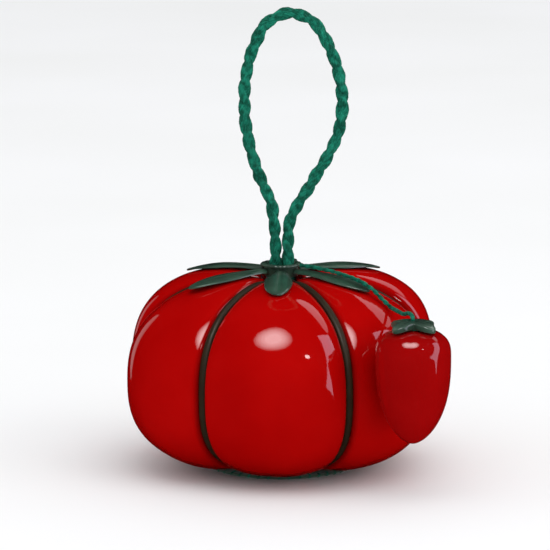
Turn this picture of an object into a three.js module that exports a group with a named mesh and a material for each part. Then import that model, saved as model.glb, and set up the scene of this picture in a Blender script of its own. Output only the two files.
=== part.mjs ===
// Tomato pin cushion with a strawberry emery on a cord and a hanging loop.
//
// Millimetres, +Z up. The origin is the middle of the flat base, and -Y is the front.
// Azimuths turn from the front (-Y) towards +X. Lobe crowns are at 0, 60, 120 ... degrees,
// and the grooves between them at 30, 90, 150 ... degrees.

import * as THREE from 'three';

// ---------------------------------------------------------------- driving dimensions

const GAP = 0.3;                 // clearance between neighbouring pieces

// The tomato's rounded form: a superellipse turned about Z, with lobes. A profile power of 2 is
// an ellipse, and a higher one is squarer.
const LOBES = 6;
const TOMATO_RADIUS = 36.3;      // axis to the crown of a lobe, at the widest level
const WIDEST_LEVEL = 21.5;       // height of the widest level above the base
const CROWN_RISE = 23.6;         // widest level to the top of a lobe
const BELLY_DROP = 22;           // widest level to the bottom of the form, before it is flattened
const CROWN_POWER = 2.32;        // profile power above the widest level, in a groove
const BELLY_POWER = 2.75;        // profile power below it
const LOBE_FULLNESS = [0.45, 0.2, 1.3, 0.6, 0.75, 0.15]; // added to the power over each lobe's crown
const GROOVE_DEPTH = 4;          // how far a groove is cut in at the side
const GROOVE_DIP = 2.3;          // how far a groove is cut down at the top
const DIMPLE_DEPTH = 2.5;        // hollow in the middle of the top
const DIMPLE_RADIUS = 6;

// Cover and filling.
const COVER_THICKNESS = 1;
const CORE_INSET = 1.5;          // lobe surface to filling surface
const KNOT_PIT_DEPTH = 5.5;      // hollow in the top of the filling for the loop's knot
const KNOT_PIT_RADIUS = 5;
const MOUTH_RADIUS = 4.7;        // where the cover and the bands end, round the axis

// Bands in the grooves.
const BAND_WIDTH = 1.7;
const BAND_THICKNESS = 1.2;
const BAND_REACH = 32.7;         // axis to the middle of a band, at the widest level
const BAND_RISE = 22.4;          // widest level to the middle of a band, at the top
const BAND_DROP = 19.8;
const BAND_POWER = 2.5;

// Base.
const DISC_RADIUS = 17;
const DISC_THICKNESS = 0.8;

// Calyx.
const LEAF_THICKNESS = 0.7;
const LEAF_ROOT = 4.2;           // distance of a leaf's root from the axis
const LEAF_REACH = [22.2, 23.4, 25.6, 24.6, 25.6, 23.4]; // distance of each leaf's tip from it
const LEAF_HALF_WIDTH = 3.2;
const LEAF_WIDEST = 0.55;        // share of the leaf's length where it is widest
const LEAF_ROOT_SHARE = 0.42;    // width of the root, as a share of the widest
const LEAF_TIP_LIFT = [0.2, 0.3, 0.2, 0.2, 0.2, 0.8]; // how far each tip stands off its lobe
const COLLAR_OVERHANG = 0.5;     // how far the ring at the centre reaches over the leaves' roots
const COLLAR_THICKNESS = 0.7;

// Hanging loop.
const LOOP_CORD_RADIUS = 1.25;
const STRAND_LEFT = -1.25;       // where the two strands stand, side by side, along X
const STRAND_RIGHT = 1.6;
const KNOT_RADIUS = 3.2;
const KNOT_HALF_HEIGHT = 1.8;
const KNOT_LEVEL = 41;

// Strawberry.
const BERRY_AZIMUTH = 43.5;
const BERRY_DISTANCE = 44.3;     // tomato's axis to strawberry's axis
const BERRY_RADIUS = 8.4;
const BERRY_WIDEST_LEVEL = 32.1;
const BERRY_SHOULDER_RISE = 5.85; // widest level to the top of the red part
const BERRY_SHOULDER_POWER = 2.8; // squareness of the shoulder, 2 being an ellipse
const BERRY_TIP_DROP = 20;       // widest level to the pointed tip
const BERRY_WALL = 0.9;
const BERRY_NECK = 2.2;          // radius of the opening under the cap
const BERRY_CORD_RADIUS = 0.5;
const BERRY_KNOT_RADIUS = 1.25;
const CAP_THICKNESS = 1.6;
const CAP_HOLE = 1.1;            // radius of the hole that the cord comes in by
const CAP_LEAVES = 4;
const CAP_AZIMUTH = 3;           // a notch between two leaves faces almost to the front
const CAP_TIP_RADIUS = 6.2;
const CAP_NOTCH_RADIUS = 2.9;

// Worked out from the above.
const LOBE_ANGLE = 2 * Math.PI / LOBES;
const HALF_LOBE = LOBE_ANGLE / 2;
const COVER_FLOOR = DISC_THICKNESS + GAP;
const CHANNEL_HALF_WIDTH = BAND_WIDTH / 2 + GAP;
const CROWN_TOP = WIDEST_LEVEL + CROWN_RISE;

// The loop's centreline, from the left strand's end in the knot, round the eye, to the right one's.
const LOOP_ROUTE = [
  [STRAND_LEFT, 43.2], [STRAND_LEFT, 45.6], [STRAND_LEFT, 48.6],
  [-1.3, 51.7], [-1.5, 55], [-1.8, 58.2], [-2.5, 61.4], [-3.7, 64.2], [-5.3, 67.9], [-6.6, 72],
  [-7.5, 75.7], [-8.1, 79.1], [-8.3, 83], [-8.3, 87.1], [-7.7, 91.2], [-6.8, 94.8], [-5.5, 98],
  [-4.1, 100.7], [-2.2, 102.7], [0, 103.8],
  [2.3, 104.1],
  [4.7, 103.6], [7, 102.3], [8.8, 100.3], [10.3, 97.8], [11.6, 94.8], [12.7, 91.7], [13.5, 88],
  [13.9, 84.4], [13.7, 80.7], [13.1, 77.3], [11.9, 74.2], [10.3, 71.1], [8.4, 67.9], [6.1, 64],
  [3.9, 60.5], [2.2, 57.3],
  [STRAND_RIGHT, 54.2], [STRAND_RIGHT, 51.2], [STRAND_RIGHT, 48.4], [STRAND_RIGHT, 45.6],
  [STRAND_RIGHT, 43.2],
];

// The strawberry cord's centreline: along a leaf, over the shoulder, across into the cap.
const BERRY_CORD_ROUTE = [
  [4.5, -2.6, 46.9], [7.9, -4.6, 46.7], [10.4, -6, 46.4], [12.6, -7.3, 46.1], [14.7, -8.5, 45.7],
  [17, -9.8, 45.1], [19.1, -11, 44.3], [21.2, -12.2, 43], [23, -13.2, 41.4], [24.8, -14.4, 39.9],
  [26.1, -15.8, 39], [26.9, -18, 38.8], [27.7, -21, 39.1], [28.5, -24.2, 39.8],
  [29.2, -27.1, 40.5], [29.7, -29.1, 40.8], [30.1, -30.6, 40.75], [30.33, -31.5, 40.35],
  [30.45, -31.97, 39.7], [30.49, -32.13, 38.9], [30.49, -32.13, 38.3],
];

// ---------------------------------------------------------------- materials

function material(color, roughness, metalness = 0) {
  return new THREE.MeshStandardMaterial({ color, roughness, metalness });
}

const redGloss = () => material(0xb00607, 0.12);
const bandGreen = () => material(0x27301c, 0.35);
const leafGreen = () => material(0x2f4f40, 0.3);
const cordGreen = () => material(0x0f6a4c, 0.85);
const stuffing = () => material(0xe8e2d4, 0.95);
const emery = () => material(0x4a3a34, 0.95);

// ---------------------------------------------------------------- geometry helpers

const radians = THREE.MathUtils.degToRad;

// A point at a distance from the axis and an azimuth, where azimuth 0 is the front.
function polar(distance, azimuth, z) {
  return new THREE.Vector3(distance * Math.sin(azimuth), -distance * Math.cos(azimuth), z);
}

function geometryFrom(points, triangles) {
  const geometry = new THREE.BufferGeometry().setFromPoints(points);
  geometry.setIndex(triangles);
  geometry.computeVertexNormals();
  return geometry;
}

// A closed slab between two matching grids of points, grid[row][column]. Seen from outside the
// outer grid, columns run to the right and rows run up. A ring's columns join up end to end.
function slab(outer, inner, isRing = false) {
  const rows = outer.length;
  const columns = outer[0].length;
  const points = [...outer.flat(), ...inner.flat()];
  const innerStart = rows * columns;
  const triangles = [];
  const quad = (a, b, c, d) => triangles.push(a, b, c, a, c, d);
  const outerAt = (row, column) => row * columns + (column % columns);
  const innerAt = (row, column) => innerStart + outerAt(row, column);
  const strips = isRing ? columns : columns - 1;
  for (let row = 0; row < rows - 1; row++) {
    const above = row + 1;
    for (let column = 0; column < strips; column++) {
      const next = column + 1;
      quad(outerAt(row, column), outerAt(row, next), outerAt(above, next), outerAt(above, column));
      quad(innerAt(row, column), innerAt(above, column), innerAt(above, next), innerAt(row, next));
    }
  }
  for (let column = 0; column < strips; column++) {
    const last = rows - 1;
    quad(innerAt(0, column), innerAt(0, column + 1), outerAt(0, column + 1), outerAt(0, column));
    quad(outerAt(last, column), outerAt(last, column + 1), innerAt(last, column + 1), innerAt(last, column));
  }
  for (let row = 0; row < rows - 1 && !isRing; row++) {
    const last = columns - 1;
    quad(innerAt(row, 0), outerAt(row, 0), outerAt(row + 1, 0), innerAt(row + 1, 0));
    quad(outerAt(row, last), innerAt(row, last), innerAt(row + 1, last), outerAt(row + 1, last));
  }
  return geometryFrom(points, triangles);
}

// A closed ball-like body from rings of points, bottom ring first, and its two poles.
function ball(rings, bottom, top) {
  const columns = rings[0].length;
  const points = [...rings.flat(), bottom, top];
  const bottomIndex = rings.length * columns;
  const topIndex = bottomIndex + 1;
  const at = (row, column) => row * columns + (column % columns);
  const lastRow = rings.length - 1;
  const triangles = [];
  for (let column = 0; column < columns; column++) {
    triangles.push(bottomIndex, at(0, column + 1), at(0, column));
    triangles.push(topIndex, at(lastRow, column), at(lastRow, column + 1));
    for (let row = 0; row < lastRow; row++) {
      triangles.push(at(row, column), at(row, column + 1), at(row + 1, column + 1));
      triangles.push(at(row, column), at(row + 1, column + 1), at(row + 1, column));
    }
  }
  return geometryFrom(points, triangles);
}

// A lathe turns its outline about Y, so it is stood up to turn about Z.
function turned(outline, segments) {
  const points = outline.map(([radius, height]) => new THREE.Vector2(radius, height));
  return new THREE.LatheGeometry(points, segments).rotateX(Math.PI / 2);
}

// A solid cord or band: an oval section swept along a smooth curve through the points.
function swept(points, halfWidth, halfThickness, sides, steps) {
  const section = new THREE.Shape();
  for (let side = 0; side < sides; side++) {
    const angle = 2 * Math.PI * (side + 0.5) / sides;
    const x = halfWidth * Math.cos(angle);
    const y = halfThickness * Math.sin(angle);
    if (side === 0) section.moveTo(x, y);
    else section.lineTo(x, y);
  }
  section.closePath();
  const extrudePath = new THREE.CatmullRomCurve3(points, false, 'centripetal');
  return new THREE.ExtrudeGeometry(section, { steps, extrudePath, bevelEnabled: false });
}

// Evenly spaced numbers from one value to another, both included.
function spread(from, to, count) {
  return Array.from({ length: count }, (_, index) => from + (to - from) * index / (count - 1));
}

// ---------------------------------------------------------------- the tomato's form

// 0 on the crown of a lobe, 1 at the bottom of a groove: each lobe is an arc in plan.
function grooveShare(fromCrown) {
  return 1 - Math.sqrt(Math.max(0, 1 - (fromCrown / HALF_LOBE) ** 2));
}

// The sizes of the rounded form at an angle from a lobe's crown, a little way under the surface.
function lobeForm(lobe, fromCrown, inset) {
  const groove = grooveShare(fromCrown);
  return {
    radius: TOMATO_RADIUS - inset - GROOVE_DEPTH * groove,
    rise: CROWN_RISE - inset - GROOVE_DIP * groove,
    drop: BELLY_DROP - inset - GROOVE_DIP * groove,
    power: CROWN_POWER + LOBE_FULLNESS[lobe] * (1 - groove),
  };
}

// A point of a side profile, in the direction of an angle above the widest level.
function profilePoint(angle, { radius, rise, drop, power }) {
  const extent = angle > 0 ? rise : drop;
  const exponent = angle > 0 ? power : BELLY_POWER;
  const across = Math.abs(Math.cos(angle)) / radius;
  const up = Math.abs(Math.sin(angle)) / extent;
  const reach = (across ** exponent + up ** exponent) ** (-1 / exponent);
  return { distance: reach * Math.cos(angle), z: WIDEST_LEVEL + reach * Math.sin(angle) };
}

function hollow(distance, depth, radius) {
  return depth * Math.exp(-((distance / radius) ** 2));
}

function lobePoint(lobe, angle, fromCrown, inset, dimple, floor) {
  const { distance, z } = profilePoint(angle, lobeForm(lobe, fromCrown, inset));
  const hollowed = angle > 0 ? z - dimple(distance) : z;
  return { distance, z: Math.max(hollowed, floor) };
}

const coverDimple = (distance) => hollow(distance, DIMPLE_DEPTH, DIMPLE_RADIUS);
const coreDimple = (distance) => hollow(distance, KNOT_PIT_DEPTH, KNOT_PIT_RADIUS);

// Height of the top of a lobe, as if the top had no dimple.
function crownHeight(lobe, distance, fromCrown) {
  const { radius, rise, power } = lobeForm(lobe, fromCrown, 0);
  return WIDEST_LEVEL + rise * (1 - (distance / radius) ** power) ** (1 / power);
}

// ---------------------------------------------------------------- the tomato's pieces

// Angles from the bottom mouth, a distance from the axis, up to the top one.
function mouthToMouth(distance, count) {
  return spread(-Math.atan(BELLY_DROP / distance), Math.atan(CROWN_RISE / distance), count);
}

// One gore of the cover: a curved shell between two channels that hold the bands.
function coverSegment(lobe) {
  const angles = mouthToMouth(MOUTH_RADIUS, 17);
  const across = spread(-1, 1, 9);
  const layer = (inset) => angles.map((angle) => {
    const edge = lobePoint(lobe, angle, HALF_LOBE * 0.9, COVER_THICKNESS, coverDimple, COVER_FLOOR);
    const halfAngle = HALF_LOBE - Math.asin(CHANNEL_HALF_WIDTH / edge.distance);
    return across.map((share) => {
      const fromCrown = share * halfAngle;
      const { distance, z } = lobePoint(lobe, angle, fromCrown, inset, coverDimple, COVER_FLOOR + inset);
      return polar(distance, fromCrown, z);
    });
  });
  return slab(layer(0), layer(COVER_THICKNESS));
}

// The filling follows the cover from inside, with a pit in the top for the loop's knot.
function fillingCore() {
  const angles = mouthToMouth(KNOT_PIT_RADIUS / 2, 14);
  const perLobe = 6;
  const azimuths = Array.from({ length: LOBES * perLobe }, (_, index) => index * LOBE_ANGLE / perLobe);
  const floor = COVER_FLOOR + CORE_INSET;
  const rings = angles.map((angle) => azimuths.map((azimuth) => {
    const nearest = Math.round(azimuth / LOBE_ANGLE);
    const fromCrown = azimuth - nearest * LOBE_ANGLE;
    const { distance, z } = lobePoint(nearest % LOBES, angle, fromCrown, CORE_INSET, coreDimple, floor);
    return polar(distance, azimuth, z);
  }));
  const pitBottom = CROWN_TOP - CORE_INSET - GROOVE_DIP / 2 - KNOT_PIT_DEPTH;
  return ball(rings, new THREE.Vector3(0, 0, floor), new THREE.Vector3(0, 0, pitBottom));
}

// A band lies in its groove from the mouth at the top to the mouth at the bottom. It is made in
// the XZ plane, on the +X side, and turned to its groove.
function segmentBand() {
  const form = { radius: BAND_REACH, rise: BAND_RISE, drop: BAND_DROP, power: BAND_POWER };
  const floor = COVER_FLOOR + BAND_THICKNESS / 2;
  const points = mouthToMouth(MOUTH_RADIUS, 25).map((angle) => {
    const { distance, z } = profilePoint(angle, form);
    const hollowed = angle > 0 ? z - coverDimple(distance) : z;
    return new THREE.Vector3(distance, 0, Math.max(hollowed, floor));
  });
  return swept(points, BAND_WIDTH / 2, BAND_THICKNESS / 2, 8, 26);
}

function baseDisc() {
  const edge = 0.2;
  return turned([
    [0, 0],
    [DISC_RADIUS - edge, 0],
    [DISC_RADIUS, edge],
    [DISC_RADIUS, DISC_THICKNESS],
    [0, DISC_THICKNESS],
  ], 48);
}

// ---------------------------------------------------------------- the calyx

// Narrow at the root, nearly straight sides, and a blunt round tip.
function leafHalfWidth(along) {
  const swell = Math.sin(Math.min(1, along / LEAF_WIDEST) * Math.PI / 2);
  const beyond = Math.max(0, (along - LEAF_WIDEST) / (1 - LEAF_WIDEST));
  const taper = Math.sqrt(1 - beyond ** 2.4);
  return LEAF_HALF_WIDTH * (LEAF_ROOT_SHARE + (1 - LEAF_ROOT_SHARE) * swell) * taper;
}

// A leaf that lies over the crown of a lobe, with its tip a little off it.
function calyxLeaf(lobe) {
  const alongs = spread(0, 1, 11).map((share) => Math.sin(share * Math.PI / 2));
  const across = spread(-1, 1, 5);
  const layer = (height) => across.map((side) => alongs.map((along) => {
    const reach = LEAF_ROOT + (LEAF_REACH[lobe] - LEAF_ROOT) * along;
    const sideways = side * Math.max(0.35, leafHalfWidth(along));
    const z = crownHeight(lobe, Math.hypot(reach, sideways), Math.atan2(sideways, reach));
    return new THREE.Vector3(sideways, -reach, z + GAP + LEAF_TIP_LIFT[lobe] * along ** 2 + height);
  }));
  return slab(layer(LEAF_THICKNESS), layer(0));
}

// The ring over the leaves' roots that the loop's strands come up through.
function calyxCentre() {
  const hole = STRAND_RIGHT + LOOP_CORD_RADIUS + GAP;
  const bottom = CROWN_TOP - 1;
  const flange = CROWN_TOP + GAP + LEAF_THICKNESS + GAP;
  const rim = LEAF_ROOT + COLLAR_OVERHANG;
  return turned([
    [hole, bottom],
    [LEAF_ROOT - GAP, bottom],
    [LEAF_ROOT - GAP, flange],
    [rim, flange],
    [rim + 0.05, flange + 0.3],
    [rim - 0.4, flange + COLLAR_THICKNESS - 0.05],
    [hole + 0.5, flange + COLLAR_THICKNESS],
    [hole, flange + COLLAR_THICKNESS - 0.2],
    [hole, bottom],
  ], 24);
}

// ---------------------------------------------------------------- the hanging loop

function hangingLoop() {
  const points = LOOP_ROUTE.map(([x, z]) => new THREE.Vector3(x, 0, z));
  return swept(points, LOOP_CORD_RADIUS, LOOP_CORD_RADIUS, 8, 54);
}

function knot(radius, halfHeight, level) {
  const geometry = new THREE.SphereGeometry(1, 14, 9).rotateX(Math.PI / 2);
  return geometry.scale(radius, radius, halfHeight).translate(0, 0, level);
}

// ---------------------------------------------------------------- the strawberry

// Radius of the red surface at a height, a little way under the surface.
function berryRadius(z, inset) {
  const radius = BERRY_RADIUS - inset;
  const fromWidest = z - BERRY_WIDEST_LEVEL;
  if (fromWidest > 0) {
    const share = fromWidest / (BERRY_SHOULDER_RISE - inset);
    return radius * (1 - share ** BERRY_SHOULDER_POWER) ** (1 / BERRY_SHOULDER_POWER);
  }
  const share = -fromWidest / (BERRY_TIP_DROP - inset);
  return radius * Math.max(0, 1 - share ** 2.6) ** 0.6;
}

// Height of the red shoulder at a distance from the strawberry's axis.
function berryShoulder(distance, inset) {
  const share = distance / (BERRY_RADIUS - inset);
  const rise = (1 - share ** BERRY_SHOULDER_POWER) ** (1 / BERRY_SHOULDER_POWER);
  return BERRY_WIDEST_LEVEL + (BERRY_SHOULDER_RISE - inset) * rise;
}

// One layer of the outline, from the tip up to the neck.
function berryOutline(inset) {
  const tip = BERRY_WIDEST_LEVEL - BERRY_TIP_DROP + inset;
  const belly = [0.06, 0.18, 0.36, 0.58, 0.8, 1].map((share) => {
    const z = tip + (BERRY_WIDEST_LEVEL - tip) * share;
    return [berryRadius(z, inset), z];
  });
  const shoulder = [0.94, 0.8, 0.58].map((share) => {
    const distance = (BERRY_RADIUS - inset) * share;
    return [distance, berryShoulder(distance, inset)];
  });
  return [[0, tip], ...belly, ...shoulder, [BERRY_NECK, berryShoulder(BERRY_NECK, inset)]];
}

function strawberryCover() {
  return turned([...berryOutline(0), ...berryOutline(BERRY_WALL).reverse()], 24);
}

function emeryFilling() {
  const inset = BERRY_WALL + 0.5;
  const outline = berryOutline(inset);
  const top = BERRY_WIDEST_LEVEL + BERRY_SHOULDER_RISE - inset - 2.2;
  const kept = outline.filter(([, z]) => z < top - GAP);
  return turned([...kept, [BERRY_NECK, top], [0, top - 0.8]], 16);
}

// A scalloped cap that drapes over the shoulder, with a hole for the cord.
function strawberryCap() {
  const columns = 40;
  const azimuths = Array.from({ length: columns }, (_, index) => 2 * Math.PI * index / columns);
  const middle = (CAP_TIP_RADIUS + CAP_NOTCH_RADIUS) / 2;
  const scallop = (CAP_TIP_RADIUS - CAP_NOTCH_RADIUS) / 2;
  const layer = (height) => [1, 0.66, 0.33, 0].map((share) => azimuths.map((azimuth) => {
    const rim = middle - scallop * Math.cos(CAP_LEAVES * azimuth);
    const distance = CAP_HOLE + (rim - CAP_HOLE) * share;
    return polar(distance, azimuth, berryShoulder(distance, 0) + GAP + height);
  }));
  return slab(layer(CAP_THICKNESS), layer(0), true);
}

function strawberryCord() {
  const points = BERRY_CORD_ROUTE.map(([x, y, z]) => new THREE.Vector3(x, y, z));
  return swept(points, BERRY_CORD_RADIUS, BERRY_CORD_RADIUS, 8, 26);
}

// ---------------------------------------------------------------- assembly

const pinCushion = new THREE.Group();

function add(parent, name, geometry, finish, azimuth = 0) {
  const mesh = new THREE.Mesh(geometry, finish);
  mesh.name = name;
  mesh.rotation.z = azimuth;
  parent.add(mesh);
}

add(pinCushion, 'filling_core', fillingCore(), stuffing());
add(pinCushion, 'base_disc', baseDisc(), leafGreen());
for (let lobe = 0; lobe < LOBES; lobe++) {
  const crown = lobe * LOBE_ANGLE;
  const groove = crown + HALF_LOBE;
  add(pinCushion, `cover_segment_${lobe + 1}`, coverSegment(lobe), redGloss(), crown);
  add(pinCushion, `segment_band_${lobe + 1}`, segmentBand(), bandGreen(), groove - Math.PI / 2);
  add(pinCushion, `calyx_leaf_${lobe + 1}`, calyxLeaf(lobe), leafGreen(), crown);
}
add(pinCushion, 'calyx_centre', calyxCentre(), leafGreen());
add(pinCushion, 'cord_anchor_knot', knot(KNOT_RADIUS, KNOT_HALF_HEIGHT, KNOT_LEVEL), cordGreen());
add(pinCushion, 'hanging_loop', hangingLoop(), cordGreen());
add(pinCushion, 'strawberry_cord', strawberryCord(), cordGreen());

const strawberry = new THREE.Group();
strawberry.position.copy(polar(BERRY_DISTANCE, radians(BERRY_AZIMUTH), 0));
const cordEnd = BERRY_CORD_ROUTE.at(-1)[2];
const berryKnotLevel = cordEnd - GAP - BERRY_KNOT_RADIUS;
add(strawberry, 'strawberry_cover', strawberryCover(), redGloss());
add(strawberry, 'emery_filling', emeryFilling(), emery());
add(strawberry, 'strawberry_cap', strawberryCap(), leafGreen(), radians(CAP_AZIMUTH));
add(strawberry, 'strawberry_knot', knot(BERRY_KNOT_RADIUS, BERRY_KNOT_RADIUS, berryKnotLevel), cordGreen());
pinCushion.add(strawberry);

export default pinCushion;
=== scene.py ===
# Looks of the tomato pin cushion: glossy lobed cover, banded grooves, leafy calyx, twisted
# hanging loop and a strawberry on its cord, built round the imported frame. Metres, +Z up.

import math

import bpy
import numpy as np
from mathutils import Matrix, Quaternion, Vector, noise


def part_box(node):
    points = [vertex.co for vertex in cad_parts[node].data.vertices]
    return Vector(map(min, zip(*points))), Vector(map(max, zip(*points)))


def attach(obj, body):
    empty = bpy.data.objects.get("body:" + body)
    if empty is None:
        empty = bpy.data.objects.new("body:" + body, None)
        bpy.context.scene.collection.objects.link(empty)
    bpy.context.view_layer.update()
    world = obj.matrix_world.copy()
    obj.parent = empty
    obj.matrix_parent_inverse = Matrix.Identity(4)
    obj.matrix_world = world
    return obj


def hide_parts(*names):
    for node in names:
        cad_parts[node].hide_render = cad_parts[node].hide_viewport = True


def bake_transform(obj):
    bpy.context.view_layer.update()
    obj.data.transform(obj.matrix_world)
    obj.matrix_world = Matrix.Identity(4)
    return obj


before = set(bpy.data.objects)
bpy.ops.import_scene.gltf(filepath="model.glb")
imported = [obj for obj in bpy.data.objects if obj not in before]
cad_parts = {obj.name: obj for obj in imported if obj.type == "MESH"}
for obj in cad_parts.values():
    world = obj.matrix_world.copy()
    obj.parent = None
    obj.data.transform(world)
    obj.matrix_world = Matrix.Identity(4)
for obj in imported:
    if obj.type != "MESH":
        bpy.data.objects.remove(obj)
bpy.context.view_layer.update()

MM = 0.001

# ---------------------------------------------------------------- sizes

# Read from the frame.
LOBES = 6
TOMATO_RADIUS = -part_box("cover_segment_1")[0].y
COVER_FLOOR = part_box("cover_segment_1")[0].z
DISC_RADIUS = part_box("base_disc")[1].x
DISC_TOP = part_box("base_disc")[1].z
LEAF_ROOT = -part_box("calyx_leaf_1")[1].y
CENTRE_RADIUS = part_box("calyx_centre")[1].x
CENTRE_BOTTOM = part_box("calyx_centre")[0].z
CENTRE_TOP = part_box("calyx_centre")[1].z
BERRY_LOW, BERRY_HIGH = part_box("strawberry_cover")
BERRY_FOOT = Vector(((BERRY_LOW.x + BERRY_HIGH.x) / 2, (BERRY_LOW.y + BERRY_HIGH.y) / 2, 0))
BERRY_RADIUS = (BERRY_HIGH.x - BERRY_LOW.x) / 2
BERRY_TIP = BERRY_LOW.z

# The tomato's form, as the cover segments have it.
WIDEST_LEVEL = 21.5 * MM
CROWN_RISE = 23.6 * MM
BELLY_DROP = 22 * MM
CROWN_POWER = 2.32
BELLY_POWER = 2.75
LOBE_FULLNESS = (0.45, 0.2, 1.3, 0.6, 0.75, 0.15)
GROOVE_DEPTH = 4 * MM
GROOVE_DIP = 2.3 * MM
DIMPLE_DEPTH = 2.5 * MM
DIMPLE_RADIUS = 6 * MM
LOBE_ANGLE = 2 * math.pi / LOBES
HALF_LOBE = LOBE_ANGLE / 2

# Cover and bands.
COVER_THICKNESS = 1.2 * MM
EDGE_ROUND = 0.85 * MM
BAND_WIDTH = 1.75 * MM
BAND_THICKNESS = 1.3 * MM
BAND_REACH = 32.7 * MM
BAND_RISE = 22.4 * MM
BAND_DROP = 19.8 * MM
BAND_POWER = 2.5
CHANNEL_HALF_WIDTH = 0.93 * MM
MOUTH_RADIUS = 4.7 * MM

# Calyx.
COLLAR_HOLE = 3.15 * MM
COLLAR_THICKNESS = 0.7 * MM
LEAF_THICKNESS = 0.6 * MM
LEAF_HALF_WIDTH = 3.1 * MM
LEAF_WIDEST = 0.55
LEAF_ROOT_SHARE = 0.42
LEAF_TIP_LIFT_MM = (0.2, 0.3, 0.2, 0.2, 0.2, 0.8)

# Cords.
LOOP_DIAMETER = 2.5 * MM
LOOP_PLY_PITCH = 8.2 * MM
BERRY_CORD_DIAMETER = 1 * MM
BERRY_CORD_PLY_PITCH = 3.4 * MM
STRAND_LEFT = -1.25
STRAND_RIGHT = 1.6
LOOP_ROUTE_MM = [
    (STRAND_LEFT, 43.2), (STRAND_LEFT, 45.6), (STRAND_LEFT, 48.6),
    (-1.3, 51.7), (-1.5, 55), (-1.8, 58.2), (-2.5, 61.4), (-3.7, 64.2), (-5.3, 67.9), (-6.6, 72),
    (-7.5, 75.7), (-8.1, 79.1), (-8.3, 83), (-8.3, 87.1), (-7.7, 91.2), (-6.8, 94.8), (-5.5, 98),
    (-4.1, 100.7), (-2.2, 102.7), (0, 103.8),
    (2.3, 104.1),
    (4.7, 103.6), (7, 102.3), (8.8, 100.3), (10.3, 97.8), (11.6, 94.8), (12.7, 91.7), (13.5, 88),
    (13.9, 84.4), (13.7, 80.7), (13.1, 77.3), (11.9, 74.2), (10.3, 71.1), (8.4, 67.9), (6.1, 64),
    (3.9, 60.5), (2.2, 57.3),
    (STRAND_RIGHT, 54.2), (STRAND_RIGHT, 51.2), (STRAND_RIGHT, 48.4), (STRAND_RIGHT, 45.6),
    (STRAND_RIGHT, 43.2),
]
BERRY_CORD_ROUTE_MM = [
    (4.5, -2.6, 46.9), (7.9, -4.6, 46.7), (10.4, -6, 46.4), (12.6, -7.3, 46.1), (14.7, -8.5, 45.7),
    (17, -9.8, 45.1), (19.1, -11, 44.3), (21.2, -12.2, 43), (23, -13.2, 41.4), (24.8, -14.4, 39.9),
    (26.1, -15.8, 39), (26.9, -18, 38.8), (27.7, -21, 39.1), (28.5, -24.2, 39.8),
    (29.2, -27.1, 40.5), (29.7, -29.1, 40.8), (30.1, -30.6, 40.75), (30.33, -31.5, 40.35),
    (30.45, -31.97, 39.7), (30.49, -32.13, 38.9), (30.49, -32.13, 38.3),
]

# Strawberry.
BERRY_WIDEST_LEVEL = 32.1 * MM
BERRY_SHOULDER_RISE = 5.85 * MM
BERRY_SHOULDER_POWER = 2.8
BERRY_WALL = 0.9 * MM
BERRY_NECK = 2.2 * MM
CAP_GAP = 0.3 * MM
CAP_THICKNESS = 1.6 * MM
CAP_HOLE = 1 * MM
CAP_STRING_DEPTH = 0.35 * MM
CAP_LEAVES = 4
CAP_AZIMUTH = math.radians(3)
CAP_TIP_RADIUS = 6.2 * MM
CAP_NOTCH_RADIUS = 2.9 * MM

# Light.
SOFTBOX_DISTANCE = 0.8
LAYER_STEP = 0.03
KEY_AZIMUTH = -6
KEY_ELEVATION = 60
KEY_SHARES = (1, 0.9, 0.78, 0.64, 0.46)
WARM_WHITE = (1, 0.95, 0.95)
ROSE_WHITE = (1, 0.9, 0.95)
WINDOW_BLUE = (0.84, 0.8, 1)
WIDEST_MIDDLE = Vector((0, 0, WIDEST_LEVEL))

# View: the width that the picture covers at the tomato's axis, and where it looks.
VIEW_AZIMUTH = math.radians(2.5)
VIEW_ELEVATION = math.radians(10)
VIEW_DISTANCE = 0.92
VIEW_WIDTH = 0.1255
VIEW_TARGET = Vector((-1.4 * MM, 0, 44.1 * MM))


# ---------------------------------------------------------------- camera, floor and light

def direction(azimuth, elevation):
    """Away from the object: azimuth 0 is the front, and it turns towards +X."""
    level = math.cos(elevation)
    return Vector((math.sin(azimuth) * level, -math.cos(azimuth) * level, math.sin(elevation)))


def make_camera():
    data = bpy.data.cameras.new("camera")
    camera = bpy.data.objects.new("camera", data)
    bpy.context.scene.collection.objects.link(camera)
    away = direction(VIEW_AZIMUTH, VIEW_ELEVATION)
    camera.location = VIEW_TARGET + away * VIEW_DISTANCE
    camera.rotation_mode = "QUATERNION"
    camera.rotation_quaternion = (-away).to_track_quat("-Z", "Y")
    data.sensor_width = 36
    data.lens = data.sensor_width * VIEW_DISTANCE / VIEW_WIDTH
    data.clip_start = 0.01
    data.clip_end = 20
    bpy.context.scene.camera = camera


def softbox(name, azimuth, elevation, width, height, radiance, color=(1, 1, 1), lean=0, layer=0):
    """A light that only shows as a reflection. All its angles, as the object sees it, in degrees.

    Softboxes in one direction add up only if each is on a layer of its own, behind the last.
    """
    distance = SOFTBOX_DISTANCE * (1 + LAYER_STEP * layer)
    data = bpy.data.lights.new(name, "AREA")
    data.shape = "ELLIPSE"
    data.size = 2 * distance * math.tan(math.radians(width / 2))
    data.size_y = 2 * distance * math.tan(math.radians(height / 2))
    area = math.pi / 4 * data.size * data.size_y
    data.energy = radiance * math.pi * area
    data.color = color
    light = bpy.data.objects.new(name, data)
    bpy.context.scene.collection.objects.link(light)
    away = direction(math.radians(azimuth), math.radians(elevation))
    light.location = WIDEST_MIDDLE + away * distance
    light.rotation_mode = "QUATERNION"
    turn = (-away).to_track_quat("-Z", "Y")
    light.rotation_quaternion = turn @ Quaternion((0, 0, 1), math.radians(lean))
    light.visible_diffuse = False
    return light


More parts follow.
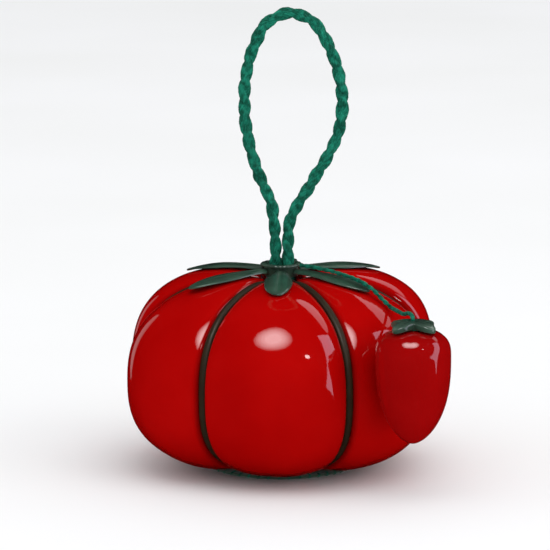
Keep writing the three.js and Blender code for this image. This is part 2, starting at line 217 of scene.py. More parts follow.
def fill_light(name, azimuth, elevation, distance, size, power):
    """A broad light that brightens the colours and leaves no reflection."""
    light = softbox(name, azimuth, elevation, 10, 10, 1)
    away = direction(math.radians(azimuth), math.radians(elevation))
    light.location = WIDEST_MIDDLE + away * distance
    light.data.size = size
    light.data.size_y = size
    light.data.energy = power
    light.visible_diffuse = True
    light.visible_glossy = False


def make_lights():
    fill_light("overhead_fill", 30, 72, 1.6, 1.6, 6.6)
    fill_light("front_fill", 62, 28, 1.7, 1.2, 5)
    # The key light is a stack of smaller and smaller ovals, so that its reflection has a soft edge.
    for layer, share in enumerate(KEY_SHARES):
        width, height = 37 * share, 40 * share
        name = f"key_softbox_{layer + 1}"
        softbox(name, KEY_AZIMUTH, KEY_ELEVATION, width, height, 2, WARM_WHITE, layer=layer)
    window = softbox("right_window", 77, 20, 24, 64, 4.2, WINDOW_BLUE, lean=-25)
    window.data.shape = "RECTANGLE"
    softbox("back_window", 138, 47, 40, 14, 1.5, ROSE_WHITE)
    softbox("left_edge_strip", -142, 6, 12, 34, 0.5)
    softbox("small_lamp", 37, 31, 5, 5, 14)


def make_world():
    world = bpy.data.worlds.new("studio")
    bpy.context.scene.world = world
    world.use_nodes = True
    background = world.node_tree.nodes["Background"]
    background.inputs["Color"].default_value = (0.97, 0.98, 1, 1)
    background.inputs["Strength"].default_value = 0.95
    world.cycles_visibility.glossy = False


def make_floor():
    data = bpy.data.meshes.new("floor")
    reach = 4
    corners = [(-reach, -reach, 0), (reach, -reach, 0), (reach, reach, 0), (-reach, reach, 0)]
    data.from_pydata(corners, [], [(0, 1, 2, 3)])
    floor = bpy.data.objects.new("floor", data)
    bpy.context.scene.collection.objects.link(floor)
    floor.data.materials.append(floor_material())
    floor.visible_glossy = False


# ---------------------------------------------------------------- materials

class Shader:
    """A material under construction: its nodes and its Principled shader."""

    def __init__(self, name, **inputs):
        self.material = bpy.data.materials.new(name)
        self.material.use_nodes = True
        self.nodes = self.material.node_tree.nodes
        self.links = self.material.node_tree.links
        self.principled = self.nodes["Principled BSDF"]
        for key, value in inputs.items():
            self.principled.inputs[key.replace("_", " ")].default_value = value

    def link(self, output, key):
        self.links.new(output, self.principled.inputs[key])

    def feed(self, target, source):
        """Links an output to an input, or sets the input to a plain value."""
        if isinstance(source, bpy.types.NodeSocket):
            self.links.new(source, target)
        else:
            target.default_value = source

    def place(self):
        """Object coordinates, which are the frame's metres."""
        return self.nodes.new("ShaderNodeTexCoord").outputs["Object"]

    def attribute(self, name, output="Fac"):
        node = self.nodes.new("ShaderNodeAttribute")
        node.attribute_name = name
        return node.outputs[output]

    def noise(self, scale, detail=3, vector=None, roughness=0.5):
        node = self.nodes.new("ShaderNodeTexNoise")
        node.inputs["Scale"].default_value = scale
        node.inputs["Detail"].default_value = detail
        node.inputs["Roughness"].default_value = roughness
        self.links.new(self.place() if vector is None else vector, node.inputs["Vector"])
        return node.outputs["Fac"]

    def fibre_wave(self, distortion):
        """Waves across the fibre coordinates of a piece."""
        node = self.nodes.new("ShaderNodeTexWave")
        node.inputs["Scale"].default_value = 1
        node.inputs["Distortion"].default_value = distortion
        self.links.new(self.attribute("fibre", "Vector"), node.inputs["Vector"])
        return node.outputs["Fac"]

    def ramp(self, value, stops):
        node = self.nodes.new("ShaderNodeValToRGB")
        elements = node.color_ramp.elements
        while len(elements) < len(stops):
            elements.new(0.5)
        for element, (position, color) in zip(elements, stops):
            element.position = position
            element.color = (*color, 1)
        self.links.new(value, node.inputs["Fac"])
        return node.outputs["Color"]

    def mix(self, share, first, second):
        node = self.nodes.new("ShaderNodeMix")
        node.data_type = "RGBA"
        for source, index in ((share, 0), (first, 6), (second, 7)):
            self.feed(node.inputs[index], source)
        return node.outputs[2]

    def math(self, operation, first, second):
        node = self.nodes.new("ShaderNodeMath")
        node.operation = operation
        self.feed(node.inputs[0], first)
        self.feed(node.inputs[1], second)
        return node.outputs[0]

    def bump(self, height, distance, strength=1, key="Normal"):
        node = self.nodes.new("ShaderNodeBump")
        node.inputs["Distance"].default_value = distance
        node.inputs["Strength"].default_value = strength
        self.links.new(height, node.inputs["Height"])
        self.links.new(node.outputs["Normal"], self.principled.inputs[key])

    def spread(self, value, low, high):
        node = self.nodes.new("ShaderNodeMapRange")
        node.inputs["To Min"].default_value = low
        node.inputs["To Max"].default_value = high
        self.links.new(value, node.inputs["Value"])
        return node.outputs["Result"]


def srgb(red, green, blue):
    """A colour given in 0 to 255 sRGB, as the linear values that shaders take."""
    linear = []
    for value in (red, green, blue):
        share = value / 255
        linear.append(share / 12.92 if share <= 0.04045 else ((share + 0.055) / 1.055) ** 2.4)
    return tuple(linear)


def floor_material():
    shader = Shader("floor_paper", Roughness=0.8)
    cloud = shader.noise(6, 2)
    shader.link(shader.ramp(cloud, [(0.3, (0.85, 0.85, 0.84)), (0.7, (0.88, 0.88, 0.88))]), "Base Color")
    shader.principled.inputs["Specular IOR Level"].default_value = 0.1
    return shader.material


def gloss_red_material(name, deep, bright):
    """Red cloth under a clear mirror-smooth coat, with painted shade: the edge_shade value darkens it by the
    grooves and under the strawberry's cap.
    """
    shader = Shader(name, Roughness=0.5, Coat_Weight=1, Coat_IOR=1.5)
    shader.principled.inputs["Specular IOR Level"].default_value = 0
    cloud = shader.noise(55, 4)
    body = shader.ramp(cloud, [(0.3, deep), (0.7, bright)])
    mottle = shader.noise(900, 2)
    body = shader.mix(shader.spread(mottle, 0, 0.16), body, (*deep, 1))
    # Painted shade: a darker red mixed in where edge_shade is set, by the grooves on the tomato and near the
    # strawberry's neck.
    painted_shade_red = (deep[0] * 0.45, deep[1] * 0.5, deep[2] * 0.5, 1)
    body = shader.mix(shader.attribute("edge_shade"), body, painted_shade_red)
    shader.link(body, "Base Color")
    shader.link(shader.spread(shader.noise(140, 3), 0.03, 0.075), "Coat Roughness")
    shader.bump(shader.noise(2600, 2), 0.03 * MM, 0.5)
    shader.bump(shader.noise(260, 2), 0.05 * MM, 0.35, "Coat Normal")
    return shader.material


def band_material():
    """Dull dark cord with a fine twist."""
    shader = Shader("band_dark_green", Roughness=0.5, Coat_Weight=0.15, Coat_Roughness=0.16)
    shader.principled.inputs["Specular IOR Level"].default_value = 0.2
    cloud = shader.noise(300, 3)
    stops = [(0.3, srgb(44, 28, 12)), (0.7, srgb(48, 40, 20))]
    shader.link(shader.ramp(cloud, stops), "Base Color")
    shader.bump(shader.fibre_wave(0.6), 0.05 * MM, 0.6)
    return shader.material


def leaf_material():
    """Stiffened green leaf under a gloss coat, with a paler rib and fine side veins."""
    shader = Shader("leaf_green", Roughness=0.42, Coat_Weight=0.9, Coat_Roughness=0.1)
    cloud = shader.noise(180, 4)
    body = shader.ramp(cloud, [(0.3, srgb(30, 62, 46)), (0.7, srgb(52, 88, 68))])
    rib = srgb(84, 116, 92)
    body = shader.mix(shader.attribute("rib"), body, (*rib, 1))
    shader.link(body, "Base Color")
    grain = shader.math("ADD", shader.fibre_wave(1.2), shader.noise(1500, 3))
    shader.bump(grain, 0.06 * MM, 0.55)
    return shader.material


def cord_material():
    """Twisted cotton: streaks run along each yarn, the yarns differ a little in tone at random, and the ply
    cores seen in the crevices between yarns are darker as painted shade.
    """
    shader = Shader("cord_green", Roughness=0.82, Sheen_Weight=0.15, Sheen_Roughness=0.5)
    stretched = shader.nodes.new("ShaderNodeMapping")
    stretched.inputs["Scale"].default_value = (0.5, 5, 1)
    shader.links.new(shader.attribute("fibre", "Vector"), stretched.inputs["Vector"])
    streaks = shader.noise(2.2, 4, stretched.outputs["Vector"], 0.65)
    stops = [(0.36, srgb(0, 48, 36)), (0.5, srgb(0, 108, 84)), (0.66, srgb(38, 174, 140))]
    body = shader.ramp(streaks, stops)
    worn = shader.ramp(shader.noise(700, 3), [(0.4, srgb(0, 50, 36)), (0.62, srgb(38, 164, 134))])
    body = shader.mix(0.5, body, worn)
    tone = shader.attribute("tone")
    # Painted shade: a high tone value (0.9 on the ply cores in the crevices) pulls the green towards dark; on
    # the yarns the value varies at random.
    body = shader.mix(shader.math("MULTIPLY", tone, 0.6), body, (*srgb(0, 54, 40), 1))
    shader.link(body, "Base Color")
    shader.principled.inputs["Specular IOR Level"].default_value = 0.1
    shader.principled.inputs["Sheen Tint"].default_value = (*srgb(120, 200, 170), 1)
    shader.bump(streaks, 0.12 * MM, 0.7)
    return shader.material


def felt_material():
    shader = Shader("disc_felt", Roughness=0.95, Sheen_Weight=0.4)
    fluff = shader.noise(1400, 6, roughness=0.7)
    shader.link(shader.ramp(fluff, [(0.3, srgb(32, 66, 48)), (0.7, srgb(62, 100, 76))]), "Base Color")
    shader.bump(fluff, 0.25 * MM, 0.8)
    return shader.material


def loose_material(name, dark, light, scale):
    """Filling: packed fibre or packed grit."""
    shader = Shader(name, Roughness=0.95)
    grains = shader.noise(scale, 6, roughness=0.7)
    shader.link(shader.ramp(grains, [(0.3, dark), (0.7, light)]), "Base Color")
    shader.bump(grains, 0.3 * MM, 0.8)
    return shader.material


# ---------------------------------------------------------------- mesh helpers

class Builder:
    """Collects points, faces and per-point values of one piece."""

    def __init__(self):
        self.points = []
        self.faces = []
        self.values = {}

    def add(self, points, faces, **values):
        start = len(self.points)
        self.points.extend(points)
        self.faces.extend([tuple(start + index for index in face) for face in faces])
        for key, column in values.items():
            known = self.values.setdefault(key, [])
            blank = (0.0, 0.0, 0.0) if isinstance(column[0], tuple) else 0.0
            known.extend([blank] * (start - len(known)))
            known.extend(column)

    def piece(self, name, body, material, slot, replaces=(), sharp_angle=50):
        mesh = bpy.data.meshes.new(name)
        mesh.from_pydata([tuple(point) for point in self.points], [], self.faces)
        for key, column in self.values.items():
            blank = (0.0, 0.0, 0.0) if isinstance(column[0], tuple) else 0.0
            column = column + [blank] * (len(self.points) - len(column))
            if isinstance(column[0], tuple):
                mesh.attributes.new(key, "FLOAT_VECTOR", "POINT").data.foreach_set("vector", np.ravel(column))
            else:
                mesh.attributes.new(key, "FLOAT", "POINT").data.foreach_set("value", column)
        mesh.polygons.foreach_set("use_smooth", [True] * len(mesh.polygons))
        mesh.set_sharp_from_angle(angle=math.radians(sharp_angle))
        mesh.materials.append(material)
        mesh.update()
        piece = bpy.data.objects.new(name, mesh)
        bpy.context.scene.collection.objects.link(piece)
        if body:
            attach(piece, body)
        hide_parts(*replaces)
        return piece


def slab_faces(rows, columns, is_ring=False):
    """Faces of a closed slab between an outer and an inner grid of rows x columns points."""
    inner = rows * columns
    strips = columns if is_ring else columns - 1
    faces = []

    def at(row, column):
        return row * columns + column % columns

    for row in range(rows - 1):
        for column in range(strips):
            a, b = at(row, column), at(row, column + 1)
            c, d = at(row + 1, column + 1), at(row + 1, column)
            faces.append((a, b, c, d))
            faces.append((inner + a, inner + d, inner + c, inner + b))
    for column in range(strips):
        a, b = at(0, column), at(0, column + 1)
        faces.append((inner + a, inner + b, b, a))
        a, b = at(rows - 1, column), at(rows - 1, column + 1)
        faces.append((a, b, inner + b, inner + a))
    if not is_ring:
        for row in range(rows - 1):
            a, b = at(row, 0), at(row + 1, 0)
            faces.append((inner + a, a, b, inner + b))
            a, b = at(row, columns - 1), at(row + 1, columns - 1)
            faces.append((a, inner + a, inner + b, b))
    return faces


def loft_faces(rings, sides, closed=False):
    """Faces of a tube of rings, with flat ends unless it closes on itself."""
    faces = []
    for ring in range(rings if closed else rings - 1):
        following = (ring + 1) % rings
        for side in range(sides):
            beside = (side + 1) % sides
            faces.append((
                ring * sides + side, ring * sides + beside,
                following * sides + beside, following * sides + side,
            ))
    if not closed:
        faces.append(tuple(range(sides - 1, -1, -1)))
        faces.append(tuple((rings - 1) * sides + side for side in range(sides)))
    return faces


def turned_faces(rings, segments):
    """Faces of a turned body: pole, rings of points, pole."""
    faces = []
    first_pole = rings * segments
    for segment in range(segments):
        beside = (segment + 1) % segments
        faces.append((first_pole, beside, segment))
        last = (rings - 1) * segments
        faces.append((first_pole + 1, last + segment, last + beside))
        for ring in range(rings - 1):
            a, b = ring * segments + segment, ring * segments + beside
            faces.append((a, b, b + segments, a + segments))
    return faces


def polar(distance, azimuth, z):
    return Vector((distance * math.sin(azimuth), -distance * math.cos(azimuth), z))


def spread(low, high, count):
    return [low + (high - low) * index / (count - 1) for index in range(count)]


def smooth_path(points, step):
    """A smooth curve through the points, as points a step apart."""
    dense = []
    last = len(points) - 1
    for index in range(last):
        before = points[max(index - 1, 0)]
        a, b = points[index], points[index + 1]
        after = points[min(index + 2, last)]
        for share in spread(0, 1, 17)[:-1]:
            pull = (b - before) * 0.5, (after - a) * 0.5
            square, cube = share ** 2, share ** 3
            dense.append(
                a * (2 * cube - 3 * square + 1) + pull[0] * (cube - 2 * square + share)
                + b * (3 * square - 2 * cube) + pull[1] * (cube - square)
            )
    dense.append(points[last])
    lengths = np.cumsum([0] + [(q - p).length for p, q in zip(dense, dense[1:])])
    count = max(2, round(lengths[-1] / step) + 1)
    wanted = np.linspace(0, lengths[-1], count)
    table = np.array([tuple(point) for point in dense])
    columns = [np.interp(wanted, lengths, table[:, axis]) for axis in range(3)]
    return [Vector(point) for point in zip(*columns)], float(lengths[-1])


def frames_along(path):
    """(tangent, normal, binormal) at each point, turning as little as possible."""
    tangents = [
        (path[min(index + 1, len(path) - 1)] - path[max(index - 1, 0)]).normalized()
        for index in range(len(path))
    ]
    normal = tangents[0].cross(Vector((0.31, 0.95, 0.12))).normalized()
    frames = []
    for tangent in tangents:
        normal = (normal - tangent * normal.dot(tangent)).normalized()
        frames.append((tangent, normal, tangent.cross(normal)))
    return frames


# ---------------------------------------------------------------- the tomato's form

def groove_share(from_crown):
    return 1 - math.sqrt(max(0, 1 - (from_crown / HALF_LOBE) ** 2))


def hollow(distance):
    return DIMPLE_DEPTH * math.exp(-((distance / DIMPLE_RADIUS) ** 2))


def lobe_form(lobe, from_crown, inset):
    """Radius, rise, drop and squareness at an angle from a lobe's crown, a little way under it."""
    groove = groove_share(from_crown)
    radius = TOMATO_RADIUS - inset - GROOVE_DEPTH * groove
    rise = CROWN_RISE - inset - GROOVE_DIP * groove
    drop = BELLY_DROP - inset - GROOVE_DIP * groove
    return radius, rise, drop, CROWN_POWER + LOBE_FULLNESS[lobe] * (1 - groove)


def profile_point(angle, radius, rise, drop, power):
    """A point of a side profile, in the direction of an angle above the widest level."""
    extent = rise if angle > 0 else drop
    exponent = power if angle > 0 else BELLY_POWER
    across = abs(math.cos(angle)) / radius
    up = abs(math.sin(angle)) / extent
    reach = (across ** exponent + up ** exponent) ** (-1 / exponent)
    return reach * math.cos(angle), WIDEST_LEVEL + reach * math.sin(angle)


def above_floor(z, floor, softness=0.9 * MM):
    over = z - floor
    return floor + (over + math.sqrt(over * over + softness * softness)) / 2


def lobe_point(lobe, angle, from_crown, inset):
    distance, z = profile_point(angle, *lobe_form(lobe, from_crown, inset))
    if angle > 0:
        z -= hollow(distance)
    return distance, above_floor(z, COVER_FLOOR + max(inset, 0))


def crown_height(lobe, distance, from_crown):
    """Height of the top of a lobe, as if the top had no dimple."""
    radius, rise, _, power = lobe_form(lobe, from_crown, 0)
    return WIDEST_LEVEL + rise * (1 - (distance / radius) ** power) ** (1 / power)


def mouth_angles():
    low = math.atan2(COVER_FLOOR - WIDEST_LEVEL, MOUTH_RADIUS)
    high = math.atan2(CROWN_RISE - GROOVE_DIP, MOUTH_RADIUS)
    return low, high


# ---------------------------------------------------------------- the tomato's pieces

def make_cover_segment(lobe, material):
    """One stuffed gore: its edges roll down into the channels beside it."""
    number = lobe + 1
    azimuth = lobe * LOBE_ANGLE
    low, high = mouth_angles()
    angles = spread(low, high, 91)
    shares = [math.sin(math.pi / 2 * share) for share in spread(-1, 1, 49)]
    seed = Vector((number * 3.7, number * 1.3, 0))
    layers = []
    shade = []
    for layer in ("outer", "inner"):
        for angle in angles:
            edge_distance, _ = lobe_point(lobe, angle, HALF_LOBE * 0.93, 0)
            half_angle = HALF_LOBE - math.asin(min(0.45, CHANNEL_HALF_WIDTH / edge_distance))
            for share in shares:
                from_crown = share * half_angle
                from_edge = (half_angle - abs(from_crown)) * edge_distance
                inset = COVER_THICKNESS
                if layer == "outer":
                    roll = max(0, EDGE_ROUND - from_edge)
                    inset = EDGE_ROUND - math.sqrt(EDGE_ROUND ** 2 - roll ** 2)
                    swell = noise.noise(Vector((angle * 1.7, from_crown * 4, 0)) + seed)
                    inset += 0.16 * MM * swell * (1 - abs(share) ** 3)
                distance, z = lobe_point(lobe, angle, from_crown, inset)
                layers.append(polar(distance, azimuth + from_crown, z))
                # Painted shade: edge_shade rises towards each edge of the gore, where it rolls into the
                # channel, and darkens the red there.
                shade.append(max(0, 1 - from_edge / (1.3 * MM)) ** 2 * 0.8)
    builder = Builder()
    builder.add(layers, slab_faces(len(angles), len(shares)), edge_shade=shade)
    name = f"cover_lobe_{number}"
    piece = builder.piece(name, "root", material, "red_gloss", [f"cover_segment_{number}"])


def make_segment_band(number, azimuth, material):
    """A flattened cord that lies in the groove from mouth to mouth."""
    low, high = mouth_angles()
    points = []
    for angle in spread(low * 0.985, high * 0.985, 60):
        distance, z = profile_point(angle, BAND_REACH, BAND_RISE, BAND_DROP, BAND_POWER)
        if angle > 0:
            z -= hollow(distance)
        points.append(polar(distance, azimuth, above_floor(z, COVER_FLOOR + BAND_THICKNESS / 2)))
    path, _ = smooth_path(points, 0.5 * MM)
    sides = 16
    sideways = polar(1, azimuth + math.pi / 2, 0)
    rings = []
    fibre = []
    for index, (tangent, _, _) in enumerate(frames_along(path)):
        outward = sideways.cross(tangent)
        uneven = 1 + 0.05 * noise.noise(Vector((index * 0.06, number * 5.1, 0)))
        for side in range(sides):
            turn = 2 * math.pi * side / sides
            across = math.cos(turn) * BAND_WIDTH / 2 * uneven
            up = math.sin(turn) * BAND_THICKNESS / 2
            rings.append(path[index] + sideways * across + outward * up)
            fibre.append((index * 0.55 + side / sides * 3, 0.0, 0.0))
    builder = Builder()
    builder.add(rings, loft_faces(len(path), sides), fibre=fibre)
    builder.piece(f"groove_band_{number}", "root", material, "band_green", [f"segment_band_{number}"])


def make_base_disc(material, thread):
    """A felt disc with a soft rim, oversewn all round."""
    segments = 96
    profile = [
        (0.5, 0), (0.93, 0), (0.975, 0.05), (0.99, 0.2), (1, 0.5), (0.99, 0.85), (0.97, 1), (0.5, 1),
    ]
    points = []
    for share, height in profile:
        for segment in range(segments):
            turn = 2 * math.pi * segment / segments
            wobble = 1 + 0.004 * math.sin(7 * turn) * share
            points.append(polar(DISC_RADIUS * share * wobble * 0.985, turn, DISC_TOP * height))
    points += [Vector((0, 0, 0)), Vector((0, 0, DISC_TOP))]
    builder = Builder()
    builder.add(points, turned_faces(len(profile), segments))
    builder.piece("felt_base", "root", material, "disc_felt", ["base_disc"])
    stitches = Builder()
    radius = 0.16 * MM
    for stitch in range(44):
        azimuth = 2 * math.pi * stitch / 44
        route = [
            polar(DISC_RADIUS * 0.91, azimuth, radius * 1.1), polar(DISC_RADIUS * 0.965, azimuth, radius),
            polar(DISC_RADIUS * 0.985, azimuth + 0.012, DISC_TOP * 0.5),
            polar(DISC_RADIUS * 0.965, azimuth + 0.024, DISC_TOP),
            polar(DISC_RADIUS * 0.92, azimuth + 0.024, DISC_TOP),
        ]
        path, _ = smooth_path(route, 0.25 * MM)
        add_tube(stitches, path, [radius] * len(path), 6)
    stitches.piece("felt_base_stitches", "root", thread, "cord_green")


def add_tube(builder, path, radii, sides, tone=0.0):
    """A round tube along a path, with the fibre coordinates that the cord material reads."""
    points = []
    fibre = []
    for index, (tangent, normal, binormal) in enumerate(frames_along(path)):
        for side in range(sides):
            turn = 2 * math.pi * side / sides
            offset = normal * math.cos(turn) + binormal * math.sin(turn)
            points.append(path[index] + offset * radii[index])
            fibre.append((index * 0.35, side / sides * 2, tone * 9))
    builder.add(points, loft_faces(len(path), sides), fibre=fibre, tone=[tone] * len(points))


# ---------------------------------------------------------------- the calyx

def leaf_half_width(along, widest):
    """Narrow at the root, nearly straight sides, and a blunt rounded tip."""
    opened = math.sin(min(1, along / LEAF_WIDEST) * math.pi / 2)
    root = LEAF_ROOT_SHARE + (1 - LEAF_ROOT_SHARE) * opened
    past_widest = max(0, (along - LEAF_WIDEST) / (1 - LEAF_WIDEST))
    return widest * root * math.sqrt(max(0, 1 - past_widest ** 2.4))


def leaf_reach(number):
    """Distance from the axis to the tip of a leaf of the frame."""
    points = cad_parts[f"calyx_leaf_{number}"].data.vertices
    return max(math.hypot(point.co.x, point.co.y) for point in points)


def make_calyx_leaf(lobe, material):
    """A thin leaf draped over the crown of a lobe, creased along the middle."""
    number = lobe + 1
    azimuth = lobe * LOBE_ANGLE
    across = polar(1, azimuth + math.pi / 2, 0)
    reach = leaf_reach(number)
    lift = LEAF_TIP_LIFT_MM[lobe] * MM
    variety = noise.noise(Vector((number * 2.3, 0.7, 0)))
    widest = LEAF_HALF_WIDTH * (1 + 0.1 * variety)
    rows, columns = 25, 57
    points = []
    rib = []
    fibre = []
    for top in (True, False):
        for side in spread(-1, 1, rows):
            for column in range(columns):
                along = math.sin(math.pi / 2 * column / (columns - 1))
                half_width = max(0.12 * MM, leaf_half_width(along, widest))
                sideways = side * half_width
                distance = LEAF_ROOT + (reach - LEAF_ROOT) * along
                wave = 0.12 * MM * math.sin(9 * along + number) * side ** 3
                middle = crown_height(lobe, math.hypot(distance, sideways), sideways / distance)
                middle += 0.3 * MM + LEAF_THICKNESS / 2 + lift * along ** 2 + wave
                edge = min(1 - abs(side), (1 - along) * 4, 1)
                half = LEAF_THICKNESS / 2 * (0.3 + 0.7 * math.sqrt(min(1, edge * 3.5)))
                crease = 0.16 * MM * math.exp(-((sideways / (0.35 * MM)) ** 2)) * (1 - along ** 3)
                z = middle + (half - crease if top else -half)
                points.append(polar(distance, azimuth, z) + across * sideways)
                rib.append(0.6 * math.exp(-((sideways / (0.3 * MM)) ** 2)) * (1 - along) if top else 0.0)
                fibre.append((along * 26 - abs(side) * 5, 0.0, 0.0))
    builder = Builder()
    builder.add(points, slab_faces(rows, columns), rib=rib, fibre=fibre)
    builder.piece(f"leaf_{number}", "root", material, "leaf_green", [f"calyx_leaf_{number}"], 60)


def make_calyx_centre(material):
    """The pleated ring that holds the leaves' roots and lets the strands through."""
    segments = 120
    hole = COLLAR_HOLE
    rim = CENTRE_RADIUS
    body = LEAF_ROOT - 0.3 * MM
    flange = CENTRE_TOP - COLLAR_THICKNESS
    profile = [
        (hole, CENTRE_BOTTOM), (body, CENTRE_BOTTOM), (body, flange), (rim - 0.15 * MM, flange),
        (rim - 0.03 * MM, flange + 0.12 * MM), (rim, flange + 0.3 * MM), (rim - 0.12 * MM, flange + 0.5 * MM),
        (rim - 0.35 * MM, flange + 0.63 * MM), (rim - 0.6 * MM, flange + 0.68 * MM),
        (hole + 0.5 * MM, CENTRE_TOP), (hole + 0.15 * MM, flange + 0.6 * MM),
        (hole, flange + 0.4 * MM),
    ]
    points = []
    fibre = []
    for index, (distance, z) in enumerate(profile):
        pleat = 0.07 * MM if 3 <= index <= 9 else 0
        for segment in range(segments):
            turn = 2 * math.pi * segment / segments
            ridge = abs(math.cos(turn * 10)) * pleat
            points.append(polar(distance - pleat + ridge, turn, z - pleat + ridge))
            fibre.append((turn * 20, 0.0, 0.0))
    builder = Builder()
    faces = [face[::-1] for face in loft_faces(len(profile), segments, closed=True)]
    builder.add(points, faces, fibre=fibre)
    builder.piece("calyx_ring", "root", material, "leaf_green", ["calyx_centre"], 45)


# ---------------------------------------------------------------- cords

def add_twisted_cord(builder, path, diameter, ply_pitch, yarns=8, yarn_sides=6):
    """Two plies wound round each other, each a bundle of yarns twisted the other way."""
    frames = frames_along(path)
    step = (path[1] - path[0]).length
    ply_offset = diameter * 0.18
    ply_radius = diameter * 0.385
    yarn_offset = ply_radius * 0.7
    yarn_radius = ply_radius * 0.36
    yarn_pitch = ply_pitch * 0.8
    for ply in range(2):
        middle = []
        for index, (_, normal, binormal) in enumerate(frames):
            uneven = 0.5 * noise.noise(Vector((index * step * 90, ply * 4.4, 1)))
            turn = -2 * math.pi * index * step / ply_pitch + math.pi * ply + uneven
            middle.append(path[index] + (normal * math.cos(turn) + binormal * math.sin(turn)) * ply_offset)
        swell = [
            1 + 0.16 * noise.noise(Vector((index * step * 220, ply * 7.7, 3)))
            for index in range(len(path))
        ]
        # The ply core shows only in the crevices between the yarns; its tone of 0.9 is painted shade there.
        add_tube(builder, middle, [ply_radius * 0.74 * value for value in swell], 10, tone=0.9)
        ply_frames = frames_along(middle)
        for yarn in range(yarns):
            line = []
            for index, (_, normal, binormal) in enumerate(ply_frames):
                loose = 1 + 0.2 * noise.noise(Vector((index * step * 160, yarn * 3.1, ply * 9)))
                turn = 2 * math.pi * (index * step / yarn_pitch + yarn / yarns)
                offset = normal * math.cos(turn) + binormal * math.sin(turn)
                line.append(middle[index] + offset * yarn_offset * loose * swell[index])
            tone = 0.5 + 0.5 * noise.noise(Vector((yarn * 1.9, ply * 2.7, 5)))
            add_tube(builder, line, [yarn_radius * value for value in swell], yarn_sides, tone=tone)


def make_hanging_loop(material):
    route = [Vector((x * MM, 0, z * MM)) for x, z in LOOP_ROUTE_MM]
    path, length = smooth_path(route, 0.4 * MM)
    builder = Builder()
    add_twisted_cord(builder, path, LOOP_DIAMETER, LOOP_PLY_PITCH)
    piece = builder.piece("twisted_loop", None, material, "cord_green", ["hanging_loop"], 80)
    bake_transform(piece)


def make_strawberry_cord(material):
    route = [Vector(point) * MM for point in BERRY_CORD_ROUTE_MM]
    path, _ = smooth_path(route, 0.2 * MM)
    # The string stops inside the cap's hole, so that the cap clears it at both ends of the swing.
    hole_top = berry_shoulder(CAP_HOLE) + CAP_GAP + CAP_THICKNESS
    path = [point for point in path if point.z > hole_top - CAP_STRING_DEPTH]
    builder = Builder()
    width = BERRY_CORD_DIAMETER * 0.88
    add_twisted_cord(builder, path, width, BERRY_CORD_PLY_PITCH, yarns=5, yarn_sides=5)
    piece = builder.piece("strawberry_string", None, material, "cord_green", ["strawberry_cord"], 80)
    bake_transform(piece)


# ---------------------------------------------------------------- the strawberry

def berry_shoulder(distance, inset=0.0):
    """Height of the red shoulder at a distance from the strawberry's axis."""
    share = min(1, distance / (BERRY_RADIUS - inset))
    rise = BERRY_SHOULDER_RISE - inset
    return BERRY_WIDEST_LEVEL + rise * (1 - share ** BERRY_SHOULDER_POWER) ** (1 / BERRY_SHOULDER_POWER)


def berry_outline(inset, belly_count, shoulder_count):
    """(distance, height) from near the tip up to the neck."""
    tip = BERRY_TIP + inset
    outline = []
    for share in spread(0, 1, belly_count + 1)[1:]:
        drop = math.cos(math.pi / 2 * share)
        distance = (BERRY_RADIUS - inset) * max(0, 1 - drop ** 2.6) ** 0.6
        outline.append((distance, BERRY_WIDEST_LEVEL - (BERRY_WIDEST_LEVEL - tip) * drop))
    for share in spread(0, 1, shoulder_count + 1)[1:]:
        distance = (BERRY_RADIUS - inset) * math.cos(math.pi / 2 * share)
        if distance > BERRY_NECK:
            outline.append((distance, berry_shoulder(distance, inset)))
    outline.append((BERRY_NECK, berry_shoulder(BERRY_NECK, inset)))
    return outline


def make_strawberry(material):
    """A stuffed cone of red cloth, softly gathered towards the neck."""
    segments = 120
    outer = berry_outline(0, 44, 26)
    inner = berry_outline(BERRY_WALL, 20, 8)[::-1]
    profile = outer + inner
    points = []
    shade = []
    for index, (distance, z) in enumerate(profile):
        near_neck = max(0, (z - BERRY_WIDEST_LEVEL) / BERRY_SHOULDER_RISE)
        gather = 0.012 + 0.05 * near_neck ** 2
        for segment in range(segments):
            turn = 2 * math.pi * segment / segments
            swell = noise.noise(Vector((math.cos(turn) * 1.3, math.sin(turn) * 1.3, z * 90)))
            pull = gather * (abs(math.sin(turn * 5 + 0.6)) - 1) * 0.6 + 0.012 * swell
            if index >= len(outer):
                pull = -0.01
            points.append(polar(distance * (1 + pull), turn, z) + BERRY_FOOT)
            # Painted shade: edge_shade rises towards the neck, under the cap, and darkens the red there.
            shade.append(0.5 * near_neck ** 3)
    points.append(BERRY_FOOT + Vector((0, 0, BERRY_TIP)))
    points.append(BERRY_FOOT + Vector((0, 0, BERRY_TIP + BERRY_WALL)))
    shade += [0.0, 0.0]
    builder = Builder()
    builder.add(points, turned_faces(len(profile), segments), edge_shade=shade)
    piece = builder.piece("strawberry_body", "strawberry", material, "berry_gloss", ["strawberry_cover"])


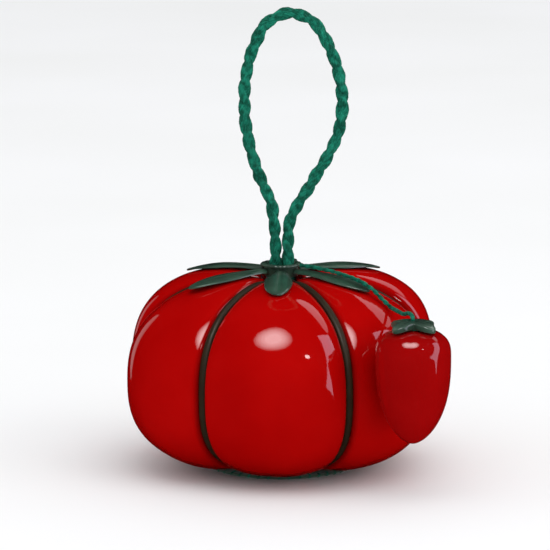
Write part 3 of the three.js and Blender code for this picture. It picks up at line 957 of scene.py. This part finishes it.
def make_strawberry_cap(material):
    """A thick scalloped cap with rounded leaves, draped over the shoulder."""
    rows, columns = 26, 160
    middle = (CAP_TIP_RADIUS + CAP_NOTCH_RADIUS) / 2
    scallop = (CAP_TIP_RADIUS - CAP_NOTCH_RADIUS) / 2
    points = []
    rib = []
    fibre = []
    for top in (True, False):
        for row in range(rows):
            share = math.cos(math.pi / 2 * row / (rows - 1))
            for column in range(columns):
                turn = 2 * math.pi * column / columns
                wave = -math.cos(CAP_LEAVES * turn)
                rim = middle + scallop * wave
                rim *= 1 + 0.03 * noise.noise(Vector((math.cos(turn) * 2, math.sin(turn) * 2, 4)))
                distance = CAP_HOLE + (rim - CAP_HOLE) * share
                tip = max(0, wave)
                half = CAP_THICKNESS / 2 * (0.4 + 0.6 * math.sqrt(max(0, 1 - share ** 7)))
                if row == rows - 1:
                    half *= 0.8
                lift = 0.1 * MM * tip * share ** 4
                crease = 0.07 * MM * tip ** 6 * min(1, share * 2)
                z = berry_shoulder(distance) + CAP_GAP + CAP_THICKNESS / 2 + lift
                z += half - crease if top else -half
                points.append(polar(distance, turn + CAP_AZIMUTH, z) + BERRY_FOOT)
                rib.append(0.3 * tip ** 8 * share if top else 0.0)
                fibre.append((turn * 30, 0.0, 0.0))
    builder = Builder()
    builder.add(points, slab_faces(rows, columns, is_ring=True), rib=rib, fibre=fibre)
    builder.piece("strawberry_leaf_cap", "strawberry", material, "leaf_green", ["strawberry_cap"], 60)


# ---------------------------------------------------------------- everything together

def dress_cad_nodes(cord):
    """Finishes of the inner CAD pieces that stay as they are."""
    stuffing = loose_material("stuffing_fibre", srgb(214, 206, 188), srgb(240, 235, 222), 700)
    grit = loose_material("emery_grit", srgb(58, 46, 42), srgb(96, 78, 70), 3000)
    finishes = {
        "filling_core": stuffing,
        "emery_filling": grit,
        "cord_anchor_knot": cord,
        "strawberry_knot": cord,
    }
    for node, material in finishes.items():
        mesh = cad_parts[node].data
        mesh.materials.clear()
        mesh.materials.append(material)


def main():
    bpy.context.scene.view_settings.view_transform = "Standard"
    make_camera()
    make_world()
    make_lights()
    make_floor()
    cord = cord_material()
    make_hanging_loop(cord)
    make_strawberry_cord(cord)
    red = gloss_red_material("tomato_red", srgb(160, 2, 2), srgb(176, 6, 5))
    berry_red = gloss_red_material("strawberry_red", srgb(142, 4, 5), srgb(158, 8, 9))
    band = band_material()
    leaf = leaf_material()
    for lobe in range(LOBES):
        make_cover_segment(lobe, red)
        make_segment_band(lobe + 1, lobe * LOBE_ANGLE + HALF_LOBE, band)
        make_calyx_leaf(lobe, leaf)
    make_calyx_centre(leaf)
    make_base_disc(felt_material(), cord)
    make_strawberry(berry_red)
    make_strawberry_cap(leaf)
    dress_cad_nodes(cord)


main()
